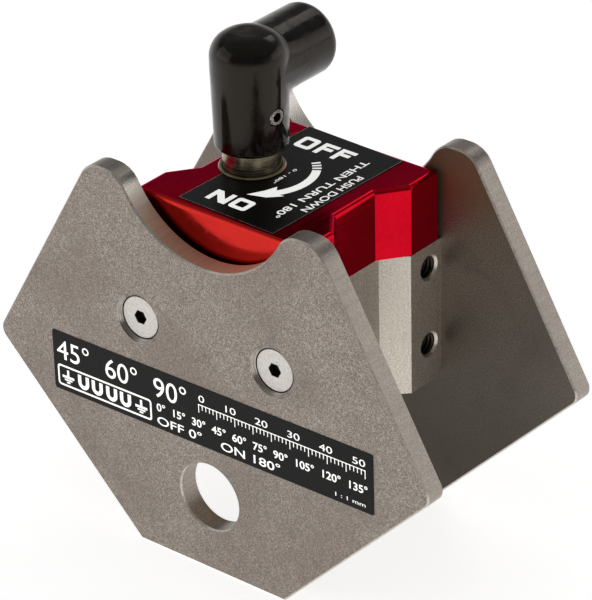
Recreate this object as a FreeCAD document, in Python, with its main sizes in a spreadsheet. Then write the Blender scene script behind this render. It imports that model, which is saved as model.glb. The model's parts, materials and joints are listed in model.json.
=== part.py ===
import FreeCAD, Part
import os
import Sketcher
from FreeCAD import Placement, Rotation, Vector

# Switchable magnetic weld square that doubles as a welding ground clamp.
# Millimetres, +Z up. The origin is midway between the two side plates, on the level of their
# flat feet. X runs along the plates, Y runs through them; the front plate is on the -Y side.

os.makedirs("parts", exist_ok=True)
doc = FreeCAD.newDocument("ground_clamp")

# ---------------------------------------------------------------- driving dimensions
DIMENSIONS = {
    # side plates
    "plate_half_width": 60.0,
    "plate_corner_z": 39.7,
    "plate_foot_half": 20.3,
    "plate_top_z": 89.5,
    "plate_thickness": 5.1,
    "side_slope": 60.0,
    "notch_radius": 24.0,
    "notch_centre_z": 98.3,
    "ear_round": 6.0,
    "corner_round": 3.0,
    "foot_round": 1.0,
    "edge_break": 0.35,
    "clamp_hole_radius": 8.0,
    "clamp_hole_z": 18.4,
    # M5 countersunk screws that hold the plates
    "plate_screw_x": 18.5,
    "plate_screw_z": 56.0,
    "plate_sink_radius": 5.95,
    "plate_screw_hole": 2.75,
    "plate_screw_head": 4.85,
    "plate_screw_sunk": 0.9,
    "plate_screw_shank": 2.5,
    "plate_screw_length": 13.0,
    "screw_head_rim": 0.15,
    "plate_socket_flats": 3.0,
    "plate_socket_depth": 1.8,
    "thread_play": 0.05,
    # magnet body
    "body_half_x": 23.25,
    "body_half_y": 23.25,
    "body_bottom_z": 33.4,
    "body_height": 33.7,
    "groove_floor_x": 18.4,
    "groove_floor_y": 7.7,
    "groove_mouth_y": 12.6,
    "body_foot_round": 3.0,
    "rotor_x": 9.5,
    "magnet_bore_radius": 8.2,
    "tapped_radius": 2.5,
    "tapped_chamfer": 3.0,
    "tapped_depth": 9.5,
    "tapped_y": 18.9,
    "tapped_low_z": 42.7,
    "tapped_high_z": 61.6,
    # cap
    "cap_half_x": 23.2,
    "cap_half_y": 22.3,
    "cap_height": 16.6,
    "cap_groove_floor_x": 18.5,
    "cap_groove_floor_y": 6.5,
    "cap_groove_mouth_y": 12.9,
    "cap_round": 1.2,
    "cap_mouth_round": 0.4,
    "cavity_radius": 7.9,
    "cavity_height": 14.35,
    "bush_hub_radius": 7.0,
    # M3 countersunk screws that hold the cap
    "cap_screw_y": 16.5,
    "cap_screw_head": 2.9,
    "cap_sink_radius": 3.25,
    "cap_screw_sunk": 0.15,
    "cap_screw_shank": 1.5,
    "cap_screw_length": 22.5,
    "cap_socket_flats": 2.0,
    "cap_socket_depth": 1.1,
    # bore plugs and their seals
    "plug_radius": 8.15,
    "plug_height": 3.0,
    "plug_groove_radius": 7.3,
    "plug_groove_height": 1.2,
    "plug_slot_width": 1.6,
    "plug_slot_depth": 1.0,
    "plug_seal_section": 0.4,
    "washer_height": 0.6,
    "washer_bore": 3.0,
    # magnets
    "magnet_radius": 7.9,
    "magnet_height": 24.0,
    "magnet_slot_width": 3.1,
    "magnet_slot_depth": 1.6,
    "spacer_height": 5.6,
    "spacer_radius": 7.9,
    "tongue_width": 3.0,
    "tongue_depth": 1.4,
    "tongue_length": 14.0,
    # rotor carrier
    "carrier_height": 5.6,
    "carrier_neck_radius": 4.8,
    "carrier_neck_height": 3.3,
    "carrier_socket_side": 5.8,
    "carrier_socket_depth": 7.6,
    "stop_recess_radius": 6.7,
    "stop_recess_angle": 204.0,
    # stop pin
    "stop_pin_radius": 1.5,
    "stop_pin_offset": 8.6,
    "stop_pin_length": 4.8,
    # spindle
    "spindle_radius": 6.35,
    "spindle_bottom_z": 73.0,
    "spindle_shoulder_z": 92.0,
    "spigot_radius": 5.0,
    "spigot_top_z": 109.0,
    "tail_side": 5.6,
    "tail_length": 6.6,
    "lock_pin_radius": 1.5,
    "lock_pin_z": 75.0,
    "lock_pin_half": 7.4,
    # lock ring, bush, seal
    "lock_ring_z": 76.8,
    "lock_ring_height": 3.1,
    "lock_ring_outer": 7.85,
    "lock_ring_inner": 6.5,
    "lock_notch_width": 3.4,
    "lock_notch_height": 1.7,
    "bush_flange_radius": 7.3,
    "bush_flange_height": 0.65,
    "bush_hub_height": 2.2,
    "bush_bore": 6.42,
    "seal_section": 0.45,
    "seal_ring_radius": 6.9,
    "seal_z": 80.75,
    # return spring
    "spring_wire": 0.35,
    "spring_radius": 5.45,
    "spring_turns": 3.25,
    "spring_height": 5.2,
    # handle
    "arm_z": 106.8,
    "arm_radius": 8.15,
    "arm_root_radius": 8.4,
    "arm_taper": 10,
    "arm_reach": 21.0,
    "arm_round": 3.2,
    "grip_bottom_z": 89.1,
    "grip_bottom_radius": 8.0,
    "grip_top_radius": 8.5,
    "grip_top_z": 115.3,
    "elbow_round": 2.5,
    "grip_bottom_round": 0.9,
    "grip_top_round": 5.6,
    "core_radius": 7.0,
    "core_bottom_z": 89.5,
    "core_top_z": 111.6,
    "core_arm_radius": 6.3,
    "core_arm_reach": 18.6,
    "grip_play": 0.05,
    "set_screw_angle": -7.0,
    "set_screw_z": 98.0,
    "set_screw_radius": 1.9,
    "set_screw_flat": 4.5,
    "set_screw_length": 3.65,
    "set_screw_flats": 2.0,
    # labels
    "label_thickness": 0.15,
    "front_label_width": 88.9,
    "front_label_height": 14.6,
    "front_label_x": 0.65,
    "front_label_z": 38.1,
    "front_label_turn": 0.5,
    "top_label_width": 26.2,
    "top_label_length": 42.0,
    "top_label_x": 1.1,
    "top_label_y": 0.3,
    "top_label_turn": -1.7,
    "top_label_cutout": 7.45,
}

sheet = doc.addObject("Spreadsheet::Sheet", "dims")
for row, (alias, number) in enumerate(DIMENSIONS.items(), start=1):
    sheet.set(f"A{row}", alias)
    sheet.set(f"B{row}", str(number))
    sheet.setAlias(f"B{row}", alias)
doc.recompute()

PLATE_TOP_HALF = "dims.plate_half_width - (dims.plate_top_z - dims.plate_corner_z) / tan(dims.side_slope)"
PLATE_GAP_HALF = "dims.body_half_y"
CAP_BOTTOM_Z = "(dims.body_bottom_z + dims.body_height)"
CAP_TOP_Z = "(dims.body_bottom_z + dims.body_height + dims.cap_height)"
MAGNET_BOTTOM_Z = "(dims.body_bottom_z + dims.plug_height + dims.washer_height + 0.2)"
MAGNET_TOP_Z = f"({MAGNET_BOTTOM_Z} + dims.magnet_height)"
OUTPUT = []


# ---------------------------------------------------------------- helpers
def number(expression):
    """Value of a sheet expression, given as text or as a plain number."""
    result = sheet.evalExpression(str(expression))
    return float(getattr(result, "Value", result))


def bind(feature, field, expression):
    """Drives a field of a feature by a sheet expression."""
    feature.setExpression(field, str(expression))


def plane(body, role):
    """One of a body's own origin planes."""
    return next(f for f in body.Origin.OriginFeatures if f.Role == role)


def new_body(label, x="0", y="0", z="0", turn="0"):
    """A body whose place is driven by the sheet; turn is about Z."""
    body = doc.addObject("PartDesign::Body", label)
    body.Label = label
    for axis, expression in zip("xyz", (x, y, z)):
        bind(body, f"Placement.Base.{axis}", expression)
    body.Placement.Rotation = Rotation(Vector(0, 0, 1), 0)
    if turn != "0":
        bind(body, "Placement.Rotation.Angle", turn)
    return body


def new_sketch(body, role, height="0"):
    """A sketch on one of the body's origin planes, lifted along the plane's normal."""
    sketch = body.newObject("Sketcher::SketchObject", body.Label + "_sketch")
    sketch.AttachmentSupport = [(plane(body, role), "")]
    sketch.MapMode = "FlatFace"
    if height != "0":
        bind(sketch, "AttachmentOffset.Base.z", height)
    return sketch


def pin_point(sketch, line, end, x, y):
    """Holds a point of the sketch at driven distances from the origin."""
    for kind, expression in (("DistanceX", x), ("DistanceY", y)):
        index = sketch.addConstraint(Sketcher.Constraint(kind, -1, 1, line, end, number(expression)))
        bind(sketch, f"Constraints[{index}]", expression)


def polygon(sketch, corners):
    """Closed polygon through driven corners."""
    points = [Vector(number(x), number(y), 0) for x, y in corners]
    count = len(points)
    first = sketch.GeometryCount
    for i in range(count):
        sketch.addGeometry(Part.LineSegment(points[i], points[(i + 1) % count]))
    for i in range(count):
        joined = Sketcher.Constraint("Coincident", first + i, 2, first + (i + 1) % count, 1)
        sketch.addConstraint(joined)
    for i, (x, y) in enumerate(corners):
        pin_point(sketch, first + i, 1, x, y)
    return sketch


def circle(sketch, radius, x="0", y="0"):
    """Driven circle."""
    shape = Part.Circle(Vector(number(x), number(y), 0), Vector(0, 0, 1), number(radius))
    line = sketch.addGeometry(shape)
    index = sketch.addConstraint(Sketcher.Constraint("Radius", line, number(radius)))
    bind(sketch, f"Constraints[{index}]", radius)
    pin_point(sketch, line, 3, x, y)
    return sketch


def rectangle(sketch, half_x, half_y, x="0", y="0"):
    """Driven rectangle about a centre."""
    corners = [(f"{x} + {sx} * ({half_x})", f"{y} + {sy} * ({half_y})")
               for sx, sy in ((-1, -1), (1, -1), (1, 1), (-1, 1))]
    return polygon(sketch, corners)


def add(body, kind, sketch, length=None, reverse=False, angle=None, midplane=False):
    """Pad, Pocket, Revolution or Groove from a sketch."""
    feature = body.newObject("PartDesign::" + kind, body.Label + "_" + kind.lower())
    feature.Profile = sketch
    if kind in ("Revolution", "Groove"):
        feature.ReferenceAxis = (sketch, ["V_Axis"])
        feature.Midplane = midplane
        if angle:
            bind(feature, "Angle", angle)
        else:
            feature.Angle = 360
    elif length == "through":
        feature.Type = "ThroughAll"
        feature.Midplane = True
    else:
        bind(feature, "Length", length)
    feature.Reversed = reverse
    sketch.Visibility = False
    doc.recompute()
    return feature


def turned(label, profile, **place):
    """Turned part: a closed profile of (radius, height) corners swung about its own Z."""
    body = new_body(label, **place)
    add(body, "Revolution", polygon(new_sketch(body, "XZ_Plane"), profile))
    return body


def drill(body, radius, depth, x="0", y="0", z="0", axis=Vector(0, 0, 1), mouth=None):
    """Round hole from a point along an axis; with mouth it is a cone from mouth to radius."""
    kind = "SubtractiveCone" if mouth else "SubtractiveCylinder"
    hole = body.newObject("PartDesign::" + kind, body.Label + "_hole")
    hole.AttachmentSupport = [(plane(body, "XY_Plane"), "")]
    hole.MapMode = "FlatFace"
    hole.AttachmentOffset = Placement(Vector(), Rotation(Vector(0, 0, 1), axis))
    for name, expression in zip("xyz", (x, y, z)):
        bind(hole, f"AttachmentOffset.Base.{name}", expression)
    if mouth:
        bind(hole, "Radius1", mouth)
        bind(hole, "Radius2", radius)
    else:
        bind(hole, "Radius", radius)
    bind(hole, "Height", depth)
    doc.recompute()
    return hole


def round_edges(body, radius, chosen, kind="Fillet"):
    """Fillet or chamfer on the edges of the body's present shape that pass the test."""
    base = body.Tip
    names = [f"Edge{i}" for i, edge in enumerate(base.Shape.Edges, start=1) if chosen(edge)]
    feature = body.newObject("PartDesign::" + kind, body.Label + "_" + kind.lower())
    feature.Base = (base, names)
    bind(feature, "Radius" if kind == "Fillet" else "Size", radius)
    doc.recompute()
    return feature


def ends(edge):
    """The two end points of an edge, in its body's own frame."""
    return edge.Vertexes[0].Point, edge.Vertexes[-1].Point


def close(a, b, slack=0.01):
    return abs(a - b) < slack


def mirrored_group(label, source, normals):
    """The source and its mirror images about planes through the origin, as separate solids."""
    source.Label = label + "_one"
    members = [source]
    for i, normal in enumerate(normals):
        for j, member in enumerate(list(members)):
            image = doc.addObject("Part::Mirroring", f"{label}_image_{i}{j}")
            image.Source = member
            image.Normal = normal
            members.append(image)
    group = doc.addObject("Part::Compound", label + "_group")
    group.Label = label
    group.Links = members
    return group


def keep(item):
    """Marks an object as a finished piece."""
    OUTPUT.append(item)
    return item


# ---------------------------------------------------------------- side plates
def side_plate(label, y, turn):
    """Steel pole plate: 45 degree V foot, sloped sides, round notch between two ears."""
    body = new_body(label, y=y, turn=turn)
    outline = [("dims.plate_foot_half", "0"),
               ("dims.plate_half_width", "dims.plate_corner_z"),
               (PLATE_TOP_HALF, "dims.plate_top_z")]
    left = [(f"-({x})", z) for x, z in reversed(outline)]
    add(body, "Pad", polygon(new_sketch(body, "XZ_Plane"), outline + left), "dims.plate_thickness")
    cuts = circle(new_sketch(body, "XZ_Plane"), "dims.notch_radius", y="dims.notch_centre_z")
    circle(cuts, "dims.clamp_hole_radius", y="dims.clamp_hole_z")
    add(body, "Pocket", cuts, "through")

    def upright(z_low, z_high):
        """Test for the edges through the plate's thickness between two heights."""
        def test(edge):
            a, b = ends(edge)
            return close(a.x, b.x) and close(a.z, b.z) and z_low < a.z < z_high
        return test

    round_edges(body, "dims.ear_round", upright(number("dims.plate_top_z") - 1, 200))
    round_edges(body, "dims.corner_round", upright(30, 50))
    round_edges(body, "dims.foot_round", upright(-1, 1))
    for side in (-1, 1):
        x = f"{side} * dims.plate_screw_x"
        drill(body, "dims.plate_screw_hole", "dims.plate_thickness + 1", x=x, y="0.5",
              z="dims.plate_screw_z", axis=Vector(0, -1, 0))
        drill(body, "dims.plate_screw_hole", "dims.plate_sink_radius - dims.plate_screw_hole",
              x=x, y="-dims.plate_thickness", z="dims.plate_screw_z", axis=Vector(0, 1, 0),
              mouth="dims.plate_sink_radius")
    thickness = number("dims.plate_thickness")
    sink = number("dims.plate_sink_radius")

    def face_edge(edge):
        """Outline edges of both faces; the screw holes keep their own rims."""
        a, b = ends(edge)
        on_face = close(a.y, b.y) and (close(a.y, 0) or close(a.y, -thickness))
        ring = isinstance(edge.Curve, Part.Circle) and edge.Curve.Radius <= sink and edge.isClosed()
        return on_face and not ring

    round_edges(body, "dims.edge_break", face_edge, kind="Chamfer")
    return keep(body)


side_plate("front_side_plate", f"-{PLATE_GAP_HALF}", "0")
side_plate("rear_side_plate", PLATE_GAP_HALF, "180")


# ---------------------------------------------------------------- socket screws
def socket_screw(label, head, shank, length, flats, depth, x, y, z, axis):
    """Countersunk hex socket screw; its head's top is at the given point, its axis points out."""
    body = doc.addObject("PartDesign::Body", label)
    rim = "dims.screw_head_rim"
    profile = [("0", "0"), (f"{head} - 0.1", "0"), (head, "-0.1"), (head, f"-{rim}"),
               (shank, f"-({head} - {shank} + {rim})"),
               (shank, f"-({length}) + 0.3"), (f"{shank} - 0.3", f"-({length})"),
               ("0", f"-({length})")]
    add(body, "Revolution", polygon(new_sketch(body, "XZ_Plane"), profile))
    corner = f"({flats} / 1.7320508)"
    hexagon = [(f"{corner} * cos({60 * i})", f"{corner} * sin({60 * i})") for i in range(6)]
    add(body, "Pocket", polygon(new_sketch(body, "XY_Plane"), hexagon), depth)
    body.Placement = Placement(Vector(), Rotation(Vector(0, 0, 1), axis))
    for name, expression in zip("xyz", (x, y, z)):
        bind(body, f"Placement.Base.{name}", expression)
    return body


for label, side in (("front_plate_screws", -1), ("rear_plate_screws", 1)):
    reach = f"{side} * ({PLATE_GAP_HALF} + dims.plate_thickness - dims.plate_screw_sunk)"
    screw = socket_screw(label, "dims.plate_screw_head", "dims.plate_screw_shank",
                         "dims.plate_screw_length", "dims.plate_socket_flats",
                         "dims.plate_socket_depth", "dims.plate_screw_x", reach,
                         "dims.plate_screw_z", Vector(0, side, 0))
    keep(mirrored_group(label, screw, [Vector(1, 0, 0)]))


# ---------------------------------------------------------------- magnet body and cap
def grooved_outline(half_x, half_y, floor_x, floor_y, mouth_y):
    """Block outline with a sloped groove in each X side that parts the two poles."""
    quarter = [(half_x, half_y), (half_x, mouth_y), (floor_x, floor_y)]
    right = quarter + [(x, f"-{y}") for x, y in reversed(quarter)]
    return right + [(f"-{x}", y) for x, y in reversed(right)]


def magnet_body():
    """Two-pole steel block with side grooves and two upright magnet bores."""
    body = new_body("magnet_body", z="dims.body_bottom_z")
    outline = grooved_outline("dims.body_half_x", "dims.body_half_y", "dims.groove_floor_x",
                              "dims.groove_floor_y", "dims.groove_mouth_y")
    add(body, "Pad", polygon(new_sketch(body, "XY_Plane"), outline), "dims.body_height")
    half_y = number("dims.body_half_y")

    def foot(edge):
        a, b = ends(edge)
        return close(a.z, 0) and close(b.z, 0) and close(abs(a.y), half_y) and close(a.y, b.y)

    round_edges(body, "dims.body_foot_round", foot)
    bores = new_sketch(body, "XY_Plane")
    for side in (-1, 1):
        circle(bores, "dims.magnet_bore_radius", x=f"{side} * dims.rotor_x")
    add(body, "Pocket", bores, "through")
    for side in (-1, 1):
        for end in (-1, 1):
            # plate screws
            drill(body, "dims.plate_screw_shank + dims.thread_play", "dims.plate_screw_length - 3",
                  x=f"{side} * dims.plate_screw_x", y=f"{end} * dims.body_half_y",
                  z="dims.plate_screw_z - dims.body_bottom_z", axis=Vector(0, -end, 0))
            # cap screws
            drill(body, "dims.cap_screw_shank + dims.thread_play",
                  "dims.cap_screw_length - dims.cap_height + 0.5",
                  x=f"{side} * dims.rotor_x", y=f"{end} * dims.cap_screw_y",
                  z="dims.body_height", axis=Vector(0, 0, -1))
            # tapped accessory holes in the pole flanks
            for level in ("dims.tapped_low_z", "dims.tapped_high_z"):
                place = dict(x=f"{side} * dims.body_half_x", y=f"{end} * dims.tapped_y",
                             z=f"{level} - dims.body_bottom_z", axis=Vector(-side, 0, 0))
                drill(body, "dims.tapped_radius", "dims.tapped_depth", **place)
                drill(body, "dims.tapped_radius", "dims.tapped_chamfer - dims.tapped_radius",
                      mouth="dims.tapped_chamfer", **place)
    # half-open seat for the stop pin, at the top of the rotor's bore
    drill(body, "dims.stop_pin_radius + 0.02", "dims.stop_pin_length + 0.2", x="-dims.rotor_x",
          y="dims.stop_pin_offset", z="dims.body_height", axis=Vector(0, 0, -1))
    return keep(body)


def cap():
    """Anodised cover with the lock's cavity, closed over the magnet body."""
    body = new_body("cap", z=CAP_BOTTOM_Z)
    outline = grooved_outline("dims.cap_half_x", "dims.cap_half_y", "dims.cap_groove_floor_x",
                              "dims.cap_groove_floor_y", "dims.cap_groove_mouth_y")
    add(body, "Pad", polygon(new_sketch(body, "XY_Plane"), outline), "dims.cap_height")
    mouth_x, mouth_y = number("dims.cap_half_x"), number("dims.cap_groove_mouth_y")
    height = number("dims.cap_height")

    def corner(edge):
        a, b = ends(edge)
        return close(a.x, b.x) and close(a.y, b.y) and close(abs(a.x), mouth_x)

    def rim(edge):
        a, b = ends(edge)
        return close(a.z, height) and close(b.z, height)

    round_edges(body, "dims.cap_mouth_round", corner)
    round_edges(body, "dims.cap_round", rim)
    drill(body, "dims.cavity_radius", "dims.cavity_height", x="-dims.rotor_x")
    drill(body, "dims.bush_hub_radius + 0.03", "dims.cap_height + 1", x="-dims.rotor_x", z="-0.5")
    for side in (-1, 1):
        for end in (-1, 1):
            place = dict(x=f"{side} * dims.rotor_x", y=f"{end} * dims.cap_screw_y",
                         z="dims.cap_height", axis=Vector(0, 0, -1))
            drill(body, "dims.cap_screw_shank + 0.15", "dims.cap_height + 1", **place)
            drill(body, "dims.cap_screw_shank + 0.15",
                  "dims.cap_sink_radius - dims.cap_screw_shank - 0.15",
                  mouth="dims.cap_sink_radius", **place)
    return keep(body)


magnet_body()
cap()
cap_screw = socket_screw("cap_screws", "dims.cap_screw_head", "dims.cap_screw_shank",
                         "dims.cap_screw_length", "dims.cap_socket_flats",
                         "dims.cap_socket_depth", "dims.rotor_x", "dims.cap_screw_y",
                         f"{CAP_TOP_Z} - dims.cap_screw_sunk", Vector(0, 0, 1))
keep(mirrored_group("cap_screws", cap_screw, [Vector(1, 0, 0), Vector(0, 1, 0)]))


# ---------------------------------------------------------------- bore plugs, seals, washer
plug = turned("bore_plugs", [
    ("0", "0"), ("dims.plug_radius", "0"),
    ("dims.plug_radius", "0.9"), ("dims.plug_groove_radius", "0.9"),
    ("dims.plug_groove_radius", "0.9 + dims.plug_groove_height"),
    ("dims.plug_radius", "0.9 + dims.plug_groove_height"),
    ("dims.plug_radius", "dims.plug_height"), ("0", "dims.plug_height"),
], x="dims.rotor_x", z="dims.body_bottom_z")
slot = rectangle(new_sketch(plug, "XY_Plane"), "dims.plug_slot_width / 2", "5.5")
add(plug, "Pocket", slot, "dims.plug_slot_depth", reverse=True)
keep(mirrored_group("bore_plugs", plug, [Vector(1, 0, 0)]))


def ring_seal(label, ring_radius, section, x, z):
    """Rubber ring of round section."""
    ring = doc.addObject("Part::Torus", label)
    ring.Label = label
    bind(ring, "Radius1", ring_radius)
    bind(ring, "Radius2", section)
    bind(ring, "Placement.Base.x", x)
    bind(ring, "Placement.Base.z", z)
    return ring


plug_seal = ring_seal("plug_seals", "dims.plug_radius - dims.plug_seal_section - 0.03",
                      "dims.plug_seal_section", "dims.rotor_x",
                      "dims.body_bottom_z + 0.9 + dims.plug_groove_height / 2")
keep(mirrored_group("plug_seals", plug_seal, [Vector(1, 0, 0)]))
keep(turned("thrust_washer", [
    ("dims.washer_bore", "0"), ("dims.magnet_radius", "0"),
    ("dims.magnet_radius", "dims.washer_height"), ("dims.washer_bore", "dims.washer_height"),
], x="-dims.rotor_x", z="dims.body_bottom_z + dims.plug_height + 0.1"))


# ---------------------------------------------------------------- magnets
def magnet(label, x):
    """Upright magnet column, magnetised across, with a driving slot along its poles' border."""
    body = new_body(label, x=x, z=MAGNET_BOTTOM_Z)
    add(body, "Pad", circle(new_sketch(body, "XY_Plane"), "dims.magnet_radius"),
        "dims.magnet_height")
    slot = rectangle(new_sketch(body, "XY_Plane", "dims.magnet_height"),
                     "dims.magnet_radius + 1", "dims.magnet_slot_width / 2")
    add(body, "Pocket", slot, "dims.magnet_slot_depth")
    return keep(body)


magnet("fixed_magnet", "dims.rotor_x")
magnet("rotor_magnet", "-dims.rotor_x")


def tongue(body):
    """Key below a disc that sits in a magnet's slot."""
    key = rectangle(new_sketch(body, "XY_Plane"), "dims.tongue_length / 2", "dims.tongue_width / 2")
    add(body, "Pad", key, "dims.tongue_depth", reverse=True)


spacer = new_body("fixed_magnet_spacer", x="dims.rotor_x", z=f"{MAGNET_TOP_Z} + 0.02")
add(spacer, "Pad", circle(new_sketch(spacer, "XY_Plane"), "dims.spacer_radius"),
    "dims.spacer_height")
tongue(spacer)
keep(spacer)


# ---------------------------------------------------------------- rotor carrier and its stop
def rotor_carrier():
    """Drives the rotor magnet; its rim recess meets the stop pin at OFF and at ON."""
    body = new_body("rotor_carrier", x="-dims.rotor_x", z=f"{MAGNET_TOP_Z} + 0.02")
    add(body, "Pad", circle(new_sketch(body, "XY_Plane"), "dims.magnet_radius"),
        "dims.carrier_height")
    neck = circle(new_sketch(body, "XY_Plane", "dims.carrier_height"), "dims.carrier_neck_radius")
    add(body, "Pad", neck, "dims.carrier_neck_height")
    tongue(body)
    top = "dims.carrier_height + dims.carrier_neck_height"
    socket = rectangle(new_sketch(body, "XY_Plane", top), "dims.carrier_socket_side / 2",
                       "dims.carrier_socket_side / 2")
    add(body, "Pocket", socket, "dims.carrier_socket_depth")
    recess = polygon(new_sketch(body, "XZ_Plane"), [
        ("-dims.stop_recess_radius", "-1"), ("-dims.magnet_radius - 1", "-1"),
        ("-dims.magnet_radius - 1", "dims.carrier_height + 1"),
        ("-dims.stop_recess_radius", "dims.carrier_height + 1")])
    add(body, "Groove", recess, angle="dims.stop_recess_angle", midplane=True)
    return keep(body)


rotor_carrier()
stop_pin = doc.addObject("Part::Cylinder", "stop_pin")
bind(stop_pin, "Radius", "dims.stop_pin_radius")
bind(stop_pin, "Height", "dims.stop_pin_length")
bind(stop_pin, "Placement.Base.x", "-dims.rotor_x")
bind(stop_pin, "Placement.Base.y", "dims.stop_pin_offset")
bind(stop_pin, "Placement.Base.z", f"{CAP_BOTTOM_Z} - dims.stop_pin_length - 0.05")
keep(stop_pin)


# ---------------------------------------------------------------- spindle and lock
SCREW_AXIS = Rotation(Vector(0, 0, 1), number("dims.set_screw_angle")).multVec(Vector(1, 0, 0))


def spindle():
    """Sliding spindle: square tail in the carrier, cross hole for the lock pin, spigot on top."""
    body = turned("spindle", [
        ("0", "dims.spindle_bottom_z"), ("dims.spindle_radius", "dims.spindle_bottom_z"),
        ("dims.spindle_radius", "dims.spindle_shoulder_z"),
        ("dims.spigot_radius", "dims.spindle_shoulder_z"),
        ("dims.spigot_radius", "dims.spigot_top_z - 0.5"),
        ("dims.spigot_radius - 0.5", "dims.spigot_top_z"), ("0", "dims.spigot_top_z"),
    ], x="-dims.rotor_x")
    tail = rectangle(new_sketch(body, "XY_Plane", "dims.spindle_bottom_z"), "dims.tail_side / 2",
                     "dims.tail_side / 2")
    add(body, "Pad", tail, "dims.tail_length", reverse=True)
    drill(body, "dims.lock_pin_radius + 0.02", "dims.spindle_radius * 2 + 2",
          x="-dims.spindle_radius - 1", z="dims.lock_pin_z", axis=Vector(1, 0, 0))
    # flat for the set screw's point
    drill(body, "3", "2", x="dims.set_screw_flat * cos(dims.set_screw_angle)",
          y="dims.set_screw_flat * sin(dims.set_screw_angle)", z="dims.set_screw_z",
          axis=SCREW_AXIS)
    return keep(body)


spindle()
lock_pin = doc.addObject("Part::Cylinder", "lock_pin")
bind(lock_pin, "Radius", "dims.lock_pin_radius")
bind(lock_pin, "Height", "dims.lock_pin_half * 2")
lock_pin.Placement = Placement(Vector(), Rotation(Vector(0, 1, 0), 90))
bind(lock_pin, "Placement.Base.x", "-dims.rotor_x - dims.lock_pin_half")
bind(lock_pin, "Placement.Base.z", "dims.lock_pin_z")
keep(lock_pin)

lock_ring = turned("lock_ring", [
    ("dims.lock_ring_inner", "0"), ("dims.lock_ring_outer", "0"),
    ("dims.lock_ring_outer", "dims.lock_ring_height"),
    ("dims.lock_ring_inner", "dims.lock_ring_height"),
], x="-dims.rotor_x", z="dims.lock_ring_z")
notch = rectangle(new_sketch(lock_ring, "XY_Plane"), "dims.lock_ring_outer + 1",
                  "dims.lock_notch_width / 2")
add(lock_ring, "Pocket", notch, "dims.lock_notch_height", reverse=True)
keep(lock_ring)

keep(turned("spindle_bush", [
    ("dims.bush_bore", "-dims.bush_hub_height"), ("dims.bush_hub_radius", "-dims.bush_hub_height"),
    ("dims.bush_hub_radius", "0.01"), ("dims.bush_flange_radius", "0.01"),
    ("dims.bush_flange_radius", "dims.bush_flange_height - 0.25"),
    ("dims.bush_flange_radius - 0.25", "dims.bush_flange_height"),
    ("dims.bush_bore + 0.2", "dims.bush_flange_height"),
    ("dims.bush_bore", "dims.bush_flange_height - 0.2"),
], x="-dims.rotor_x", z=CAP_TOP_Z))
keep(ring_seal("spindle_seal", "dims.seal_ring_radius", "dims.seal_section", "-dims.rotor_x",
               "dims.seal_z"))


# ---------------------------------------------------------------- return spring
def return_spring():
    """Compression spring between the carrier's shoulder and the spindle's lower face."""
    path = doc.addObject("Part::Helix", "spring_path")
    bind(path, "Radius", "dims.spring_radius")
    bind(path, "Pitch", "dims.spring_height / dims.spring_turns")
    bind(path, "Height", "dims.spring_height")
    wire = doc.addObject("Part::Circle", "spring_wire_section")
    bind(wire, "Radius", "dims.spring_wire")
    wire.Placement = Placement(Vector(), Rotation(Vector(1, 0, 0), 90))
    bind(wire, "Placement.Base.x", "dims.spring_radius")
    coil = doc.addObject("Part::Sweep", "return_spring")
    coil.Sections = [wire]
    coil.Spine = path
    coil.Solid = True
    coil.Frenet = True
    bind(coil, "Placement.Base.x", "-dims.rotor_x")
    bind(coil, "Placement.Base.z",
         f"{MAGNET_TOP_Z} + 0.02 + dims.carrier_height + dims.spring_wire + 0.05")
    return keep(coil)


return_spring()


# ---------------------------------------------------------------- handle
def handle_core():
    """L-shaped steel core that fits over the spindle's spigot."""
    body = turned("handle_core", [
        ("dims.spigot_radius + 0.05", "dims.core_bottom_z + 2.6"),
        ("dims.spindle_radius + 0.05", "dims.core_bottom_z + 2.6"),
        ("dims.spindle_radius + 0.05", "dims.core_bottom_z"),
        ("dims.core_radius", "dims.core_bottom_z"), ("dims.core_radius", "dims.core_top_z - 3"),
        ("dims.core_radius - 3", "dims.core_top_z"), ("0", "dims.core_top_z"),
        ("0", "dims.spigot_top_z + 0.4"), ("dims.spigot_radius + 0.05", "dims.spigot_top_z + 0.4"),
    ], x="-dims.rotor_x")
    arm = circle(new_sketch(body, "XZ_Plane", "-dims.core_arm_reach"), "dims.core_arm_radius",
                 y="dims.arm_z")
    add(body, "Pad", arm, "dims.core_arm_reach - dims.core_radius + 1.5")
    drill(body, "dims.set_screw_radius + dims.thread_play", "5", x="4.7 * cos(dims.set_screw_angle)",
          y="4.7 * sin(dims.set_screw_angle)", z="dims.set_screw_z", axis=SCREW_AXIS)
    return keep(body)


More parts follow.
